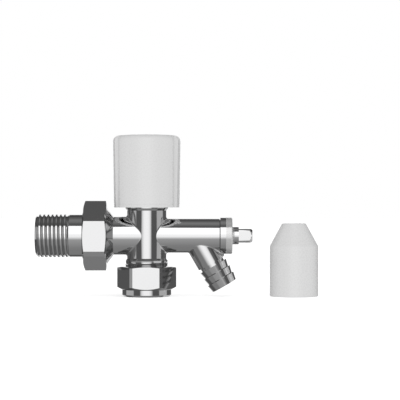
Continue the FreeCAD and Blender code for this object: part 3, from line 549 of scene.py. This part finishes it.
def thread_ring(thread, turns, rise):
    """One turn of a right-handed helix. It lies level where it would pass the thread's ends."""
    ring = []
    for column in range(COLUMNS + 1):
        along = thread.start + thread.pitch * (turns + column / COLUMNS)
        along = min(max(along, thread.start), thread.end)
        ring.append((thread_radius(thread, rise, along), along))
    return ring


def thread_rows(thread):
    rows = []
    last = math.ceil((thread.end - thread.start) / thread.pitch)
    for turn in range(-1, last + 1):
        for share, rise in thread.outline:
            rows.append(thread_ring(thread, turn + share, rise))
    return rows


mounts = {mount["name"]: mount for mount in frame["record"]["mounts"]}
ARM_HEIGHT = mounts["tail_key"]["pos_m"][2]
ALONG_ARM = Matrix.Translation((0, 0, ARM_HEIGHT)) @ Matrix.Rotation(math.radians(90), 4, "Y")
TO_RADIATOR = Matrix.Translation((0, 0, ARM_HEIGHT)) @ Matrix.Rotation(math.radians(-90), 4, "Y")
UPRIGHT = Matrix.Identity(4)


def arm_ends(node):
    """How far a node's ends lie from the upright axis, in millimetres to three decimals."""
    return sorted(round(abs(corner[0]) / MM, 3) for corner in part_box(node))


# The radiator tail. Sizes here and below are in millimetres.
TAIL_FACE, TAIL_END = arm_ends("radiator_tail")
TAIL_BORE = 5.6
TAIL_RADIUS = 10.3
TAIL_NECK = 0.3
TAIL_THREAD_LENGTH = 15.9
COLLAR_RADIUS = 12.0
COLLAR_LENGTH = 2.3
COLLAR_BEVEL = 0.25
KEY_FLATS = 12.0
KEY_DEPTH = 12.0
KEY_MOUTH_RADIUS = 7.6
KEY_MOUTH_DEPTH = 0.6
TAIL_THREAD = Thread(
    outline=FLAT_TOPPED, root=9.5, crest=mounts["radiator_thread"]["dims"]["r_mm"], pitch=2.0,
    start=TAIL_END - TAIL_THREAD_LENGTH, end=TAIL_END, start_radius=9.9, end_radius=9.28, chamfer=1.2,
)


def build_tail(chrome):
    """The radiator tail: collar, plain part, thread and the hexagon socket for a key."""
    hexagon = polygon_radius(KEY_FLATS, sides=6, turn=math.radians(30))
    bevelled = COLLAR_RADIUS - COLLAR_BEVEL
    collar_back = TAIL_FACE + COLLAR_LENGTH
    key_floor = TAIL_END - KEY_DEPTH
    rows = plain_rows([
        (TAIL_BORE, TAIL_FACE), (bevelled, TAIL_FACE), (COLLAR_RADIUS, TAIL_FACE + COLLAR_BEVEL),
        (COLLAR_RADIUS, collar_back - COLLAR_BEVEL), (bevelled, collar_back),
        (TAIL_RADIUS, collar_back), (TAIL_RADIUS, TAIL_THREAD.start - TAIL_NECK),
        (TAIL_THREAD.start_radius, TAIL_THREAD.start),
    ])
    rows += thread_rows(TAIL_THREAD)
    rows += plain_rows([
        (KEY_MOUTH_RADIUS, TAIL_END), (hexagon, TAIL_END - KEY_MOUTH_DEPTH),
        (hexagon, key_floor), (TAIL_BORE, key_floor), (TAIL_BORE, TAIL_FACE),
    ])
    tail = turned_piece("radiator_tail_threaded", rows, TO_RADIATOR, chrome)
    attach(tail, "tail")
    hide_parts("radiator_tail")


# The drain spindle. Its crown narrows the square in steps, each as far up as inwards.
SPINDLE_FOOT, SPINDLE_END = arm_ends("drain_spindle")
SPINDLE_BORE = 1.45
SPINDLE_BORE_DEPTH = 4.5
STEM_RADIUS = 3.0
HEAD_RADIUS = 4.25
HEAD_LENGTH = 12.65
HEAD_THREAD_LENGTH = 9.3
PLAIN_HEAD_LENGTH = 3.25
SQUARE_FLATS = 6.6
SQUARE_LENGTH = 6.65
CROWN_STEPS = (0.0, 0.3, 0.6, 0.95, 1.35)
SQUARE_START = SPINDLE_END - SQUARE_LENGTH
HEAD_START = SQUARE_START - HEAD_LENGTH
SPINDLE_THREAD = Thread(
    outline=ROUNDED, root=3.95, crest=HEAD_RADIUS, pitch=0.75,
    start=HEAD_START, end=HEAD_START + HEAD_THREAD_LENGTH,
    start_radius=STEM_RADIUS, end_radius=4.2, chamfer=0.2,
)
# A ring as small as this closes an end.
POINT = 0.001


def build_drain_spindle(chrome):
    """The drain spindle: stem, threaded head, and the crowned square that a key turns."""
    def square(inset):
        return polygon_radius(SQUARE_FLATS, sides=4, limit=HEAD_RADIUS - inset)
    crown_start = SPINDLE_END - CROWN_STEPS[-1]
    bore_end = SPINDLE_FOOT + SPINDLE_BORE_DEPTH
    rows = plain_rows([
        (SPINDLE_BORE, SPINDLE_FOOT), (STEM_RADIUS, SPINDLE_FOOT),
        (STEM_RADIUS, SPINDLE_THREAD.start),
    ])
    rows += thread_rows(SPINDLE_THREAD)
    rows += plain_rows([
        (HEAD_RADIUS, SQUARE_START - PLAIN_HEAD_LENGTH), (HEAD_RADIUS, SQUARE_START),
        (square(0.0), SQUARE_START),
    ])
    rows += plain_rows([(square(step), crown_start + step) for step in CROWN_STEPS])
    rows += plain_rows([
        (POINT, SPINDLE_END), (POINT, bore_end),
        (SPINDLE_BORE, bore_end), (SPINDLE_BORE, SPINDLE_FOOT),
    ])
    spindle = turned_piece("drain_spindle_threaded", rows, ALONG_ARM, chrome)
    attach(spindle, "drain_spindle")
    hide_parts("drain_spindle")


# Ridges stand up from the body's plain cylinders. Their inner side lies inside the metal, and
# their grooves lie just above it.
RIDGE_DEPTH = 0.7
GROOVE_HEIGHT = 0.02
RIDGE_PITCH = 1.814
PIPE_SHOULDER = ((10.23, 16.9), (10.31, 17.4), (9.57, 18.4))
UNION_SHOULDER = ((12.7, 25.0),)


def ridge_thread(outline, cylinder, crest, start, shoulder):
    """A thread on a cylinder, from its start to the first point of the shoulder behind it."""
    inner = cylinder - RIDGE_DEPTH
    end_radius, end = shoulder[0]
    return Thread(
        outline=outline, root=cylinder + GROOVE_HEIGHT, crest=crest, pitch=RIDGE_PITCH,
        start=start, end=end, start_radius=inner, end_radius=end_radius, chamfer=crest - inner,
    )


def build_ridges(name, thread, shoulder, matrix, chrome):
    """The ridges of a thread of the body, and the shoulder behind them."""
    inner = thread.start_radius
    rows = plain_rows([(inner, thread.start)])
    rows += thread_rows(thread)
    rows += plain_rows(shoulder)
    rows += plain_rows([(inner, shoulder[-1][1])])
    piece = turned_piece(name, rows, matrix, chrome, closed=True)
    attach(piece, "root")


def build_body_threads(chrome):
    pipe = ridge_thread(FINNED, cylinder=10.1, crest=10.55, start=8.4, shoulder=PIPE_SHOULDER)
    build_ridges("pipe_thread", pipe, PIPE_SHOULDER, UPRIGHT, chrome)
    union = ridge_thread(SHARP_TOPPED, cylinder=12.9, crest=13.3, start=19.2, shoulder=UNION_SHOULDER)
    build_ridges("union_thread", union, UNION_SHOULDER, TO_RADIATOR, chrome)


bpy.context.scene.view_settings.view_transform = "Standard"
build_camera()
build_world()
build_floor()
materials = make_materials()
dress_nodes(materials)
build_tail(materials["chrome"])
build_drain_spindle(materials["chrome"])
build_body_threads(materials["chrome"])
